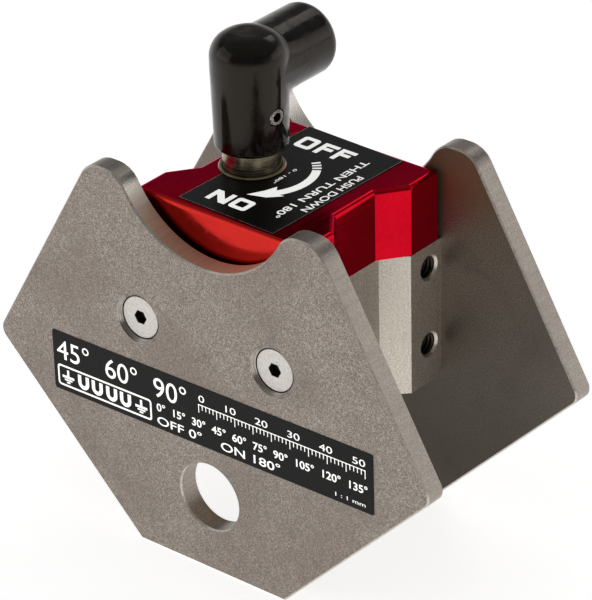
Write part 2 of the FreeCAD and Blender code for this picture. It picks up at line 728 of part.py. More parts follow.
def handle_grip():
    """Glossy sleeve over the core: a column with a domed head and a stub arm."""
    body = turned("handle_grip", [
        ("0", "dims.grip_bottom_z"), ("dims.grip_bottom_radius", "dims.grip_bottom_z"),
        ("dims.grip_top_radius", "dims.arm_z"), ("dims.grip_top_radius", "dims.grip_top_z"),
        ("0", "dims.grip_top_z"),
    ], x="-dims.rotor_x")
    top = number("dims.grip_top_z")
    bottom = number("dims.grip_bottom_z")
    reach = number("dims.arm_reach")
    round_edges(body, "dims.grip_top_round", lambda e: e.isClosed() and close(e.Vertexes[0].Z, top))
    round_edges(body, "dims.grip_bottom_round",
                lambda e: e.isClosed() and close(e.Vertexes[0].Z, bottom))
    add(body, "Revolution", polygon(new_sketch(body, "XY_Plane", "dims.arm_z"), [
        ("0", "0"), ("dims.arm_root_radius", "0"), ("dims.arm_radius", "dims.arm_taper"),
        ("dims.arm_radius", "dims.arm_reach"), ("0", "dims.arm_reach")]))
    round_edges(body, "dims.arm_round", lambda e: e.isClosed() and close(e.Vertexes[0].Y, reach))

    def elbow(edge):
        """Crease where the arm leaves the column."""
        box = edge.BoundBox
        level = box.ZLength < 1e-4
        return box.YMin > 0.5 and box.YMax < number("dims.grip_top_radius") + 1 and not level

    round_edges(body, "dims.elbow_round", elbow)
    drill(body, "dims.core_radius + dims.grip_play", "dims.core_top_z - dims.grip_bottom_z + 1.3",
          z="dims.grip_bottom_z - 1")
    drill(body, "dims.core_arm_radius + dims.grip_play", "dims.core_arm_reach + 0.3",
          y="0", z="dims.arm_z", axis=Vector(0, 1, 0))
    drill(body, "dims.set_screw_radius + 0.15", "5", x="6 * cos(dims.set_screw_angle)",
          y="6 * sin(dims.set_screw_angle)", z="dims.set_screw_z", axis=SCREW_AXIS)
    return keep(body)


handle_core()
handle_grip()

set_screw = doc.addObject("PartDesign::Body", "handle_set_screw")
add(set_screw, "Revolution", polygon(new_sketch(set_screw, "XZ_Plane"), [
    ("0", "0"), ("dims.set_screw_radius - 0.4", "0"), ("dims.set_screw_radius", "0.4"),
    ("dims.set_screw_radius", "dims.set_screw_length - 0.2"),
    ("dims.set_screw_radius - 0.2", "dims.set_screw_length"), ("0", "dims.set_screw_length")]))
half_corner = "(dims.set_screw_flats / 1.7320508)"
socket = polygon(new_sketch(set_screw, "XY_Plane", "dims.set_screw_length"),
                 [(f"{half_corner} * cos({60 * i})", f"{half_corner} * sin({60 * i})")
                  for i in range(6)])
add(set_screw, "Pocket", socket, "1.8")
set_screw.Placement = Placement(Vector(), Rotation(Vector(0, 0, 1), SCREW_AXIS))
bind(set_screw, "Placement.Base.x",
     "-dims.rotor_x + (dims.set_screw_flat + 0.02) * cos(dims.set_screw_angle)")
bind(set_screw, "Placement.Base.y", "(dims.set_screw_flat + 0.02) * sin(dims.set_screw_angle)")
bind(set_screw, "Placement.Base.z", "dims.set_screw_z")
keep(set_screw)


# ---------------------------------------------------------------- labels
front_label = new_body("front_label", x="dims.front_label_x",
                       y=f"-({PLATE_GAP_HALF} + dims.plate_thickness)", z="dims.front_label_z")
front_sheet = rectangle(new_sketch(front_label, "XZ_Plane"), "dims.front_label_width / 2",
                        "dims.front_label_height / 2")
bind(front_sheet, "AttachmentOffset.Rotation.Angle", "dims.front_label_turn")
add(front_label, "Pad", front_sheet, "dims.label_thickness")
keep(front_label)

top_label = new_body("top_label", x="dims.top_label_x", y="dims.top_label_y", z=CAP_TOP_Z,
                     turn="dims.top_label_turn")
add(top_label, "Pad", rectangle(new_sketch(top_label, "XY_Plane"), "dims.top_label_width / 2",
                                "dims.top_label_length / 2"), "dims.label_thickness")
from_axis_x = "(-dims.rotor_x - dims.top_label_x)"
drill(top_label, "dims.top_label_cutout", "1", z="-0.5",
      x=f"{from_axis_x} * cos(dims.top_label_turn) - dims.top_label_y * sin(dims.top_label_turn)",
      y=f"-{from_axis_x} * sin(dims.top_label_turn) - dims.top_label_y * cos(dims.top_label_turn)")
keep(top_label)

# ---------------------------------------------------------------- checks and export
doc.recompute()
faults = [item.Label for item in doc.Objects
          if any(state in ("Invalid", "Error") for state in item.State)]
if faults:
    raise RuntimeError(f"features with errors: {faults}")
for item in OUTPUT:
    shape = item.Shape
    if shape.isNull() or not shape.isValid() or not shape.Solids:
        raise RuntimeError(f"bad shape: {item.Label}")
    shape.exportStep(f"parts/{item.Label}.step")
    box = shape.BoundBox
    print(f"{item.Label:22s} solids {len(shape.Solids)} volume {shape.Volume:9.1f} "
          f"x {box.XMin:7.2f} {box.XMax:7.2f} y {box.YMin:7.2f} {box.YMax:7.2f} "
          f"z {box.ZMin:7.2f} {box.ZMax:7.2f}")
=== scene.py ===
import json
import math

import bmesh
import bpy
from mathutils import Matrix, Vector


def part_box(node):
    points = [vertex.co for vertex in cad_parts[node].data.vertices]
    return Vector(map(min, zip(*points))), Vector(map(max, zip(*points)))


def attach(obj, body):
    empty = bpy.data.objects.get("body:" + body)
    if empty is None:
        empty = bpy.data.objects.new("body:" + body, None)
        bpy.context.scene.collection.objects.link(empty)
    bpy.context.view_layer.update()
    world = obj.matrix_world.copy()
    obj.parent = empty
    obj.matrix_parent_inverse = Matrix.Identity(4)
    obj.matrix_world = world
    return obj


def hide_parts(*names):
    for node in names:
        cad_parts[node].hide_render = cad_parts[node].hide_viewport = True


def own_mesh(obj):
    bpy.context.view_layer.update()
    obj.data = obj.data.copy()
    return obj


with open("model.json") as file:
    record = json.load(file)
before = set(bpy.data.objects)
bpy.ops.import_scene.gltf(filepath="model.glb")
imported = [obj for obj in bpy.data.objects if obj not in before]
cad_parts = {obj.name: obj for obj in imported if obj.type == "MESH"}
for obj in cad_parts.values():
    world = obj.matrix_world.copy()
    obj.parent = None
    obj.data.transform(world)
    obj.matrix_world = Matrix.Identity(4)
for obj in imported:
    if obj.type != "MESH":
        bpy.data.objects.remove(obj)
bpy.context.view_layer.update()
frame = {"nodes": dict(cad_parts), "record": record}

# Looks for a switchable magnetic weld square used as a welding ground clamp.
# Measures are in metres where a section doesn't say millimetres, in the CAD model's frame:
# X along the plates, Y through them, +Z up.

MM = 0.001


def srgb(red, green, blue):
    """Linear colour from 0..255 display values."""
    return tuple(((c / 255 + 0.055) / 1.055) ** 2.4 if c > 10 else c / 255 / 12.92
                 for c in (red, green, blue)) + (1.0,)


def add_object(name, data):
    """A new object for some mesh, curve, light or camera data, in the scene."""
    thing = bpy.data.objects.new(name, data)
    bpy.context.scene.collection.objects.link(thing)
    return thing


# ---------------------------------------------------------------- material kit
class Recipe:
    """A node material built step by step. Positions are the object's own, in metres."""

    def __init__(self, name):
        self.material = bpy.data.materials.new(name)
        self.material.use_nodes = True
        self.nodes = self.material.node_tree.nodes
        self.links = self.material.node_tree.links
        self.nodes.clear()
        self.shader = self.nodes.new("ShaderNodeBsdfPrincipled")
        output = self.nodes.new("ShaderNodeOutputMaterial")
        self.links.new(self.shader.outputs[0], output.inputs["Surface"])
        self.place = self.nodes.new("ShaderNodeTexCoord")

    def feed(self, socket, value):
        """Links an output to a socket, or sets a constant on it."""
        if isinstance(value, bpy.types.NodeSocket):
            self.links.new(value, socket)
        else:
            socket.default_value = value

    def set(self, **values):
        """Sets the shader's own sockets; underscores stand for spaces."""
        for name, value in values.items():
            self.feed(self.shader.inputs[name.replace("_", " ")], value)

    def coords(self, stretch=(1, 1, 1), turn=(0, 0, 0), shift=(0, 0, 0)):
        """The object's own position, stretched, turned and moved."""
        mapping = self.nodes.new("ShaderNodeMapping")
        self.links.new(self.place.outputs["Object"], mapping.inputs["Vector"])
        mapping.inputs["Scale"].default_value = stretch
        mapping.inputs["Rotation"].default_value = turn
        mapping.inputs["Location"].default_value = shift
        return mapping.outputs[0]

    def noise(self, scale, detail=3.0, rough=0.55, vector=None, warp=0.0):
        """Cloudy values round 0.5; scale is in waves per metre of the vector."""
        node = self.nodes.new("ShaderNodeTexNoise")
        self.links.new(vector or self.place.outputs["Object"], node.inputs["Vector"])
        for name, value in (("Scale", scale), ("Detail", detail), ("Roughness", rough),
                            ("Distortion", warp)):
            node.inputs[name].default_value = value
        return node.outputs["Fac"]

    def ramp(self, value, *stops):
        """Values or colours by position: stops are (position, grey or rgba)."""
        node = self.nodes.new("ShaderNodeValToRGB")
        elements = node.color_ramp.elements
        while len(elements) < len(stops):
            elements.new(0.5)
        for element, (position, colour) in zip(elements, stops):
            element.position = position
            element.color = colour if hasattr(colour, "__len__") else (colour,) * 3 + (1.0,)
        self.links.new(value, node.inputs["Fac"])
        return node.outputs["Color"]

    def mix(self, factor, first, second):
        """Colour that goes from the first to the second with the factor."""
        node = self.nodes.new("ShaderNodeMix")
        node.data_type = "RGBA"
        self.feed(node.inputs["Factor"], factor)
        self.feed(node.inputs[6], first)
        self.feed(node.inputs[7], second)
        return node.outputs[2]

    def maths(self, operation, first, second=0.0):
        """One sum on values or numbers."""
        node = self.nodes.new("ShaderNodeMath")
        node.operation = operation
        self.feed(node.inputs[0], first)
        self.feed(node.inputs[1], second)
        return node.outputs[0]

    def times(self, first, second):
        """Product of two masks, or of a mask and a number."""
        return self.maths("MULTIPLY", first, second)

    def less(self, value, mask, amount):
        """A value less a share of a mask; a negative amount adds it."""
        return self.maths("SUBTRACT", value, self.times(mask, amount))

    def length(self, first, second):
        """Length of a vector, from its two components."""
        return self.maths("SQRT", self.maths("ADD", self.times(first, first),
                                             self.times(second, second)))

    def spread(self, value, low, high, out_low=0.0, out_high=1.0):
        """Maps a range to another, smoothly and held at both ends."""
        node = self.nodes.new("ShaderNodeMapRange")
        node.interpolation_type = "SMOOTHSTEP"
        self.links.new(value, node.inputs["Value"])
        for name, number in (("From Min", low), ("From Max", high), ("To Min", out_low),
                             ("To Max", out_high)):
            node.inputs[name].default_value = number
        return node.outputs["Result"]

    def part(self, output, axis):
        """One component of the object's own normal or position."""
        node = self.nodes.new("ShaderNodeSeparateXYZ")
        self.links.new(self.place.outputs[output], node.inputs[0])
        return node.outputs[axis]

    def size(self, output, axis):
        """One component without its sign."""
        return self.maths("ABSOLUTE", self.part(output, axis))

    def bump(self, height, strength, depth, below=None):
        """Shading normal from a height; depth is in metres, and below is a bump it adds to."""
        node = self.nodes.new("ShaderNodeBump")
        node.inputs["Strength"].default_value = strength
        node.inputs["Distance"].default_value = depth
        self.links.new(height, node.inputs["Height"])
        if below is not None:
            self.links.new(below, node.inputs["Normal"])
        return node.outputs[0]


# ---------------------------------------------------------------- places that the looks follow
ROTOR_X = -0.0095
NOTCH_CENTRE_Z, NOTCH_RADIUS = 0.0983, 0.024
NOTCH_SHADE_LOW, NOTCH_SHADE_HIGH = 0.078, 0.089
HOLLOW_HALF_WIDTH, HOLLOW_END = 0.0165, 0.0185
SCREW_X, SCREW_Z = 0.0185, 0.056
GAP_SHADE_REACH, SINK_REACH = 0.00506, 0.0061
PLATE_INNER_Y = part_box("rear_side_plate")[0].y
SCREW_FACE_Y = -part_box("front_plate_screws")[0].y
GRIP_SCREW_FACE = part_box("handle_set_screw")[1].x - ROTOR_X


def distance_to(recipe, x, z, mirrored=False):
    """Distance from the line along Y through (x, z), or from it or its mirror, the nearer."""
    along = recipe.size("Object", 0) if mirrored else recipe.part("Object", 0)
    return recipe.length(recipe.maths("SUBTRACT", along, x),
                         recipe.maths("SUBTRACT", recipe.part("Object", 2), z))


def distance_to_handle_axis(recipe):
    """Distance from the handle's upright axis."""
    return recipe.length(recipe.maths("SUBTRACT", recipe.part("Object", 0), ROTOR_X),
                         recipe.part("Object", 1))


# ---------------------------------------------------------------- materials
def blasted_steel():
    """Tumbled plate steel: fine speckle, soft clouds, rubbed chamfers, turned countersinks; a
    painted highlight and painted shade on the notch's wall, painted shade and a painted reflection
    tint on the inner faces, painted shade in the gap round each screw's head.
    """
    r = Recipe("blasted_steel")
    grain = r.noise(4000, 2, 0.6)
    coarse = r.noise(1500, 3, 0.65, r.coords(shift=(3, 1, 2)))
    clouds = r.noise(42, 4, 0.6, warp=0.5)
    stains = r.noise(120, 5, 0.65, r.coords(shift=(7, 2, 5)))
    tone = r.ramp(grain, (0.26, srgb(97, 89, 81)), (0.5, srgb(153, 143, 133)),
                  (0.74, srgb(214, 204, 194)))
    tone = r.mix(r.spread(coarse, 0.42, 0.72, 0.0, 0.3), tone, srgb(112, 102, 93))
    tone = r.mix(r.spread(clouds, 0.38, 0.72, 0.0, 0.45), tone, srgb(124, 112, 104))
    tone = r.mix(r.spread(stains, 0.56, 0.75, 0.0, 0.3), tone, srgb(104, 92, 86))

    # masks by which way the surface faces: chamfers, cut edges, and flat faces
    across = r.size("Normal", 1)
    flat = r.spread(across, 0.85, 0.95)
    not_flat = r.spread(across, 0.85, 0.95, 1, 0)
    bevel = r.times(r.spread(across, 0.3, 0.6), not_flat)
    side = r.spread(across, 0.05, 0.3, 1.0, 0.0)

    # chamfers rubbed bright, and cut edges with lines across them
    wear = r.spread(coarse, 0.3, 0.6, 0.35, 1.0)
    tone = r.mix(r.times(bevel, wear), tone, srgb(208, 201, 192))
    cuts = r.noise(1.0, 3, 0.6, r.coords(stretch=(1500, 90, 1500)))
    tone = r.mix(r.times(side, 0.4), tone,
                 r.ramp(cuts, (0.3, srgb(152, 144, 135)), (0.7, srgb(182, 174, 166))))

    # the notch's wall: a painted highlight all round it, and painted shade with a painted
    # reflection of the red cap, brown, low down on the front plate
    notch = distance_to(r, 0, NOTCH_CENTRE_Z)
    in_notch = r.times(side, r.spread(notch, NOTCH_RADIUS + 0.0004, NOTCH_RADIUS + 0.0012,
                                      0.8, 0.0))
    front_low = r.times(r.spread(r.part("Object", 1), -0.001, 0.001, 1, 0),
                        r.spread(r.part("Object", 2), NOTCH_SHADE_LOW, NOTCH_SHADE_HIGH, 1, 0))
    # painted highlight: the notch's wall lighter all round
    tone = r.mix(in_notch, tone, srgb(236, 229, 221))
    # painted shade and painted reflection of the red cap: brown, low down in the front plate's
    # notch
    notch_shade_and_reflection = r.times(in_notch, front_low)
    tone = r.mix(notch_shade_and_reflection, tone,
                 r.ramp(cuts, (0.3, srgb(210, 174, 136)), (0.7, srgb(228, 198, 162))))

    # inner faces: painted shade, darker towards the feet, and a painted reflection of the red cap,
    # a brown tint, towards the ears
    inner = r.times(r.spread(r.size("Object", 1), PLATE_INNER_Y + 0.0002, PLATE_INNER_Y + 0.0005,
                             1, 0), flat)
    painted_shade_low = r.spread(r.part("Object", 2), 0.01, 0.07, 0.85, 0.22)
    tone = r.mix(r.times(inner, painted_shade_low), tone, srgb(58, 52, 47))
    painted_reflection_tint = r.spread(r.part("Object", 2), 0.07, 0.082, 0, 0.6)
    tone = r.mix(r.times(inner, painted_reflection_tint), tone, srgb(136, 126, 84))

    # turned countersinks, and painted shade, near black, in the gap round each screw's head
    from_screw = distance_to(r, SCREW_X, SCREW_Z, mirrored=True)
    sink = r.times(r.spread(from_screw, SINK_REACH, SINK_REACH + 0.0001, 1, 0), not_flat)
    rings = r.noise(1.0, 2, 0.6, r.coords(stretch=(300, 5200, 300)))
    tone = r.mix(sink, tone, r.ramp(rings, (0.3, srgb(126, 118, 110)), (0.7, srgb(190, 184, 176))))
    gap_shade = r.times(r.spread(from_screw, GAP_SHADE_REACH, GAP_SHADE_REACH + 0.00006, 1, 0), not_flat)
    tone = r.mix(gap_shade, tone, (0.012, 0.01, 0.009, 1))

    rough = r.spread(grain, 0.3, 0.7, 0.44, 0.58)
    for mask, smoother in ((bevel, 0.14), (sink, 0.2), (side, 0.12), (in_notch, 0.16),
                           (notch_shade_and_reflection, -0.3)):
        rough = r.less(rough, mask, smoother)
    r.set(Base_Color=tone, Roughness=rough, Metallic=r.less(0.9, notch_shade_and_reflection, 0.6),
          Normal=r.bump(grain, 0.35, 0.00007, r.bump(clouds, 0.12, 0.0006)))
    return r.material


def ground_steel():
    """Ground pole steel: fine grain over faint upright lines."""
    r = Recipe("ground_steel")
    grain = r.noise(3000, 3, 0.65)
    lines = r.noise(1.0, 4, 0.7, r.coords(stretch=(2600, 2600, 70)))
    blotch = r.noise(80, 4, 0.6)
    tone = r.ramp(grain, (0.26, srgb(158, 149, 136)), (0.5, srgb(206, 197, 184)),
                  (0.74, srgb(242, 235, 224)))
    tone = r.mix(r.spread(lines, 0.5, 0.75, 0, 0.35), tone, srgb(168, 160, 148))
    tone = r.mix(r.spread(blotch, 0.5, 0.75, 0, 0.25), tone, srgb(160, 149, 136))
    r.set(Base_Color=tone, Metallic=0.95, Roughness=r.spread(grain, 0.3, 0.7, 0.28, 0.42),
          Normal=r.bump(lines, 0.22, 0.00007, r.bump(grain, 0.12, 0.00005)))
    return r.material


def painted_shade_bore():
    """Steel inside the tapped holes, darkened as painted shade, and mottled."""
    r = Recipe("painted_shade_bore")
    mottle = r.noise(700, 4, 0.65)
    tone = r.ramp(mottle, (0.3, srgb(30, 26, 22)), (0.7, srgb(72, 65, 57)))
    r.set(Base_Color=tone, Metallic=0.9, Roughness=r.spread(mottle, 0.3, 0.7, 0.25, 0.5),
          Normal=r.bump(mottle, 0.2, 0.00005))
    return r.material


def red_anodised():
    """Polished red anodising with faint polishing lines and dust; a painted reflection, more
    orange, in the hollow under the notch.
    """
    r = Recipe("red_anodised")
    swirl = r.noise(1.0, 3, 0.6, r.coords(stretch=(420, 60, 900)))
    haze = r.noise(60, 4, 0.6)
    grain = r.noise(2600, 3, 0.6)
    tone = r.ramp(haze, (0.3, srgb(188, 3, 30)), (0.7, srgb(208, 10, 34)))
    tone = r.mix(r.spread(grain, 0.5, 0.8, 0, 0.3), tone, srgb(224, 52, 40))
    tone = r.mix(r.spread(swirl, 0.55, 0.8, 0, 0.3), tone, srgb(168, 4, 20))
    # painted reflection: orange on the cap in the hollow under the notch
    hollow_reflection = r.spread(distance_to(r, 0, NOTCH_CENTRE_Z), NOTCH_RADIUS + 0.0006,
                      NOTCH_RADIUS + 0.0012, 1, 0)
    hollow_reflection = r.times(hollow_reflection, r.spread(r.size("Object", 0), HOLLOW_HALF_WIDTH, HOLLOW_END, 1, 0))
    hollow_reflection = r.times(hollow_reflection, r.spread(r.part("Normal", 2), 0.9, 0.98, 1, 0))
    tone = r.mix(r.times(hollow_reflection, 0.5), tone, srgb(206, 60, 40))
    r.set(Base_Color=tone, Metallic=1.0, Roughness=r.spread(swirl, 0.3, 0.7, 0.12, 0.22),
          Specular_Tint=srgb(225, 188, 213), Coat_Weight=0.02, Coat_Roughness=0.1,
          Normal=r.bump(swirl, 0.06, 0.00006, r.bump(haze, 0.1, 0.0005)))
    return r.material


def gloss_black():
    """Dipped vinyl sleeve: deep black, glossy, slightly wavy, with a few rubbed marks."""
    r = Recipe("gloss_black")
    wave = r.noise(95, 2, 0.5)
    peel = r.noise(800, 2, 0.5)
    rub = r.noise(240, 5, 0.7, r.coords(stretch=(1, 1, 0.4)))
    tone = r.ramp(rub, (0.4, (0.0016, 0.0014, 0.0013, 1)), (0.75, (0.006, 0.0052, 0.0046, 1)))
    r.set(Base_Color=tone, Roughness=r.spread(rub, 0.4, 0.7, 0.11, 0.3),
          Specular_IOR_Level=0.33, Specular_Tint=srgb(255, 238, 220),
          Normal=r.bump(peel, 0.06, 0.00012, r.bump(wave, 0.2, 0.0012)))
    return r.material


def label_foil():
    """Printed black foil with a satin face."""
    r = Recipe("label_foil")
    fleck = r.noise(1800, 3, 0.6)
    scuff = r.noise(1.0, 4, 0.7, r.coords(stretch=(900, 120, 120), turn=(0.2, 0.3, 0.5)))
    tone = r.ramp(fleck, (0.3, (0.0035, 0.0032, 0.003, 1)), (0.75, (0.0085, 0.008, 0.0072, 1)))
    tone = r.mix(r.spread(scuff, 0.66, 0.8, 0, 0.22), tone, (0.03, 0.029, 0.027, 1))
    r.set(Base_Color=tone, Roughness=r.spread(scuff, 0.3, 0.8, 0.3, 0.44),
          Specular_IOR_Level=0.14, Normal=r.bump(fleck, 0.05, 0.00005))
    return r.material


def label_ink_with_glow():
    """Screen-printed white ink, slightly uneven, with a painted glow that makes it look whiter."""
    r = Recipe("label_ink_with_glow")
    wear = r.noise(1400, 4, 0.7)
    tone = r.ramp(wear, (0.25, srgb(196, 194, 188)), (0.5, srgb(238, 237, 232)),
                  (0.8, srgb(250, 249, 246)))
    # painted light: the ink glows a little
    r.set(Base_Color=tone, Roughness=r.spread(wear, 0.3, 0.7, 0.5, 0.62),
          Emission_Color=(1, 1, 1, 1), Emission_Strength=0.6,
          Normal=r.bump(wear, 0.08, 0.00003))
    return r.material


def silver_edge():
    """Bare metal foil that shows round a label's print."""
    r = Recipe("silver_edge")
    worn = r.noise(900, 4, 0.7)
    tone = r.ramp(worn, (0.3, srgb(130, 126, 120)), (0.7, srgb(205, 202, 196)))
    r.set(Base_Color=tone, Metallic=0.9, Roughness=r.spread(worn, 0.3, 0.7, 0.3, 0.5),
          Normal=r.bump(worn, 0.1, 0.00003))
    return r.material


def screw_steel():
    """Satin screw heads with fine sanding marks; painted shade, black, inside the sockets and round
    the rim.
    """
    r = Recipe("screw_steel")
    sand = r.noise(2600, 4, 0.7)
    arcs = r.noise(1.0, 3, 0.6, r.coords(stretch=(240, 900, 1500), turn=(0, 0.5, 0)))
    tone = r.ramp(sand, (0.25, srgb(198, 193, 187)), (0.55, srgb(226, 221, 215)),
                  (0.8, srgb(240, 236, 231)))
    tone = r.mix(r.spread(arcs, 0.6, 0.8, 0, 0.25), tone, srgb(190, 184, 177))
    # painted shade: black below the head's face, in the socket and round the rim
    below = r.spread(r.size("Object", 1), SCREW_FACE_Y - 0.00012, SCREW_FACE_Y - 0.00004, 1, 0)
    tone = r.mix(below, tone, r.ramp(sand, (0.3, (0.004, 0.004, 0.004, 1)),
                                     (0.8, (0.02, 0.018, 0.016, 1))))
    r.set(Base_Color=tone, Metallic=r.times(r.maths("SUBTRACT", 1.0, below), 0.55),
          Roughness=r.spread(arcs, 0.3, 0.7, 0.42, 0.55),
          Normal=r.bump(sand, 0.15, 0.00005))
    return r.material


def oxide_screw():
    """Black oxide set screw, its outer edges worn bright."""
    r = Recipe("oxide_screw")
    worn = r.noise(2400, 4, 0.7)
    edge = r.spread(distance_to_handle_axis(r), GRIP_SCREW_FACE - 0.00025,
                    GRIP_SCREW_FACE - 0.0001, 0, 1)
    metal = r.ramp(worn, (0.3, srgb(120, 116, 110)), (0.7, srgb(205, 201, 195)))
    tone = r.mix(edge, r.ramp(worn, (0.3, (0.004, 0.004, 0.004, 1)),
                              (0.8, (0.015, 0.014, 0.013, 1))), metal)
    r.set(Base_Color=tone, Metallic=0.9, Roughness=r.spread(worn, 0.3, 0.7, 0.22, 0.4),
          Normal=r.bump(worn, 0.15, 0.00004))
    return r.material


def turned_steel():
    """Turned steel with fine rings round Z, browned and dull."""
    r = Recipe("turned_steel")
    rings = r.noise(1.0, 3, 0.7, r.coords(stretch=(60, 60, 5200)))
    film = r.noise(160, 4, 0.6)
    tone = r.ramp(rings, (0.3, srgb(112, 102, 82)), (0.7, srgb(168, 158, 134)))
    tone = r.mix(r.spread(film, 0.45, 0.7, 0, 0.6), tone, srgb(92, 80, 56))
    r.set(Base_Color=tone, Metallic=1.0, Roughness=r.spread(rings, 0.3, 0.7, 0.2, 0.34),
          Normal=r.bump(rings, 0.18, 0.00005))
    return r.material


def plain_metal(name, dark, light, rough=(0.3, 0.45), scale=420, metallic=0.95):
    """Small metal parts: two tones in fine noise, faint tool marks."""
    r = Recipe(name)
    cloud = r.noise(scale, 4, 0.65)
    marks = r.noise(1.0, 3, 0.6, r.coords(stretch=(90, 90, 2400)))
    tone = r.mix(r.spread(cloud, 0.3, 0.7), dark, light)
    r.set(Base_Color=tone, Metallic=metallic, Roughness=r.spread(cloud, 0.3, 0.7, *rough),
          Normal=r.bump(marks, 0.12, 0.00005))
    return r.material


def plain_matt(name, dark, light, rough=(0.55, 0.75), scale=500):
    """Rubber and plastic inner parts."""
    r = Recipe(name)
    cloud = r.noise(scale, 4, 0.6)
    tone = r.mix(r.spread(cloud, 0.3, 0.7), dark, light)
    r.set(Base_Color=tone, Roughness=r.spread(cloud, 0.3, 0.7, *rough),
          Normal=r.bump(cloud, 0.1, 0.0001))
    return r.material


LOOKS = {
    "blasted_steel": blasted_steel(),
    "ground_steel": ground_steel(),
    "red_anodised": red_anodised(),
    "black_gloss_sleeve": gloss_black(),
    "label_black": label_foil(),
    "screw_steel": screw_steel(),
    "turned_steel": turned_steel(),
    "oxide_screw": oxide_screw(),
    "black_screws": plain_metal("black_screws", (0.012, 0.012, 0.013, 1), (0.03, 0.03, 0.032, 1)),
    "plug_brass": plain_metal("plug_brass", srgb(150, 116, 58), srgb(205, 168, 98)),
    "magnet_nickel": plain_metal("magnet_nickel", srgb(176, 176, 174), srgb(222, 221, 218),
                                 (0.12, 0.24)),
    "carrier_steel": plain_metal("carrier_steel", srgb(128, 128, 126), srgb(184, 183, 180)),
    "hard_pin": plain_metal("hard_pin", srgb(150, 150, 150), srgb(208, 208, 206), (0.15, 0.25)),
    "spring_steel": plain_metal("spring_steel", srgb(92, 92, 92), srgb(150, 149, 146)),
    "seal_rubber": plain_matt("seal_rubber", (0.006, 0.006, 0.006, 1), (0.02, 0.02, 0.02, 1)),
    "bearing_plastic": plain_matt("bearing_plastic", srgb(206, 204, 194), srgb(236, 234, 226)),
}
INK, SILVER, BORE_SHADE = label_ink_with_glow(), silver_edge(), painted_shade_bore()
FOIL = LOOKS["label_black"]

for entry in frame["record"]["subparts"]:
    for material_slot in frame["nodes"][entry["node"]].material_slots:
        material_slot.material = LOOKS[entry["material_slot"]]


# ---------------------------------------------------------------- return spring
# The coil hangs from the spindle and goes with the handle's body.
coil = add_object("return_spring_coil", frame["nodes"]["return_spring"].data.copy())
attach(coil, "handle")
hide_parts("return_spring")
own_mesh(coil)


# ---------------------------------------------------------------- flat artwork
# Outlines are in millimetres, in the label's own plane, and rise from it by their thickness.
INK_THICKNESS = 0.02
LETTER_HALF_THICKNESS = 0.01
CAPITAL_SHARE = 0.729


def prism(mesh, outline, thickness, holes=()):
    """Adds a flat plate, from z 0 to thickness, with optional holes; outlines are (x, y)."""
    loops = []
    for points in (outline, *holes):
        ring = [mesh.verts.new((x, y, thickness)) for x, y in points]
        loops.append([mesh.edges.new((ring[i], ring[(i + 1) % len(ring)]))
                      for i in range(len(ring))])
    made = bmesh.ops.triangle_fill(mesh, edges=[e for loop in loops for e in loop],
                                   use_beauty=True, normal=(0, 0, 1))
    faces = [g for g in made["geom"] if isinstance(g, bmesh.types.BMFace)]
    sides = bmesh.ops.extrude_face_region(mesh, geom=faces)
    lowered = [g for g in sides["geom"] if isinstance(g, bmesh.types.BMVert)]
    bmesh.ops.translate(mesh, verts=lowered, vec=(0, 0, -thickness))


def spot(centre, radius, angle):
    """Point at a distance and an angle, in degrees, from a centre."""
    return (centre[0] + radius * math.cos(math.radians(angle)),
            centre[1] + radius * math.sin(math.radians(angle)))


def arc(centre, radius, start, end, steps):
    """Points on an arc, angles in degrees."""
    return [spot(centre, radius, start + (end - start) * i / steps) for i in range(steps + 1)]


def rounded(x0, y0, x1, y1, radius, steps=5):
    """Rounded rectangle outline."""
    points = []
    for cx, cy, start in ((x1 - radius, y1 - radius, 0), (x0 + radius, y1 - radius, 90),
                          (x0 + radius, y0 + radius, 180), (x1 - radius, y0 + radius, 270)):
        points += arc((cx, cy), radius, start, start + 90, steps)
    return points


def bar(x0, y0, x1, y1):
    """Plain rectangle outline."""
    return [(x0, y0), (x1, y0), (x1, y1), (x0, y1)]


def letter_o(x, y, width, height, stroke):
    """Block letter O with rounded corners, and its hole."""
    return (rounded(x, y, x + width, y + height, 0.9),
            [rounded(x + stroke, y + stroke, x + width - stroke, y + height - stroke, 0.3)])


def letter_f(x, y, width, height, stroke):
    """Block letter F, its middle arm a little shorter than the top one."""
    mid = y + height * 0.42
    return [(x, y), (x + stroke, y), (x + stroke, mid), (x + width * 0.86, mid),
            (x + width * 0.86, mid + stroke), (x + stroke, mid + stroke),
            (x + stroke, y + height - stroke), (x + width, y + height - stroke),
            (x + width, y + height), (x, y + height)]


def letter_n(x, y, width, height, stroke):
    """Block letter N."""
    slant = stroke * 1.35
    return [(x, y), (x + stroke, y), (x + stroke, y + height - slant * 1.15),
            (x + width - slant, y), (x + width, y), (x + width, y + height),
            (x + width - stroke, y + height), (x + width - stroke, y + slant * 1.15),
            (x + slant, y + height), (x, y + height)]


def moved(place, x, y):
    """A place shifted in its own plane, in millimetres."""
    return place @ Matrix.Translation((x * MM, y * MM, 0))


def artwork(name, shapes, place, material, body, slot, thickness=INK_THICKNESS):
    """One mesh piece from flat shapes in millimetres; a shape is an outline or (outline, holes)."""
    mesh = bmesh.new()
    for shape in shapes:
        outline, holes = shape if isinstance(shape, tuple) else (shape, ())
        prism(mesh, outline, thickness, holes)
    bmesh.ops.recalc_face_normals(mesh, faces=mesh.faces)
    data = bpy.data.meshes.new(name)
    mesh.to_mesh(data)
    mesh.free()
    data.transform(place @ Matrix.Scale(MM, 4))
    data.materials.append(material)
    piece = add_object(name, data)
    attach(piece, body)
    return piece


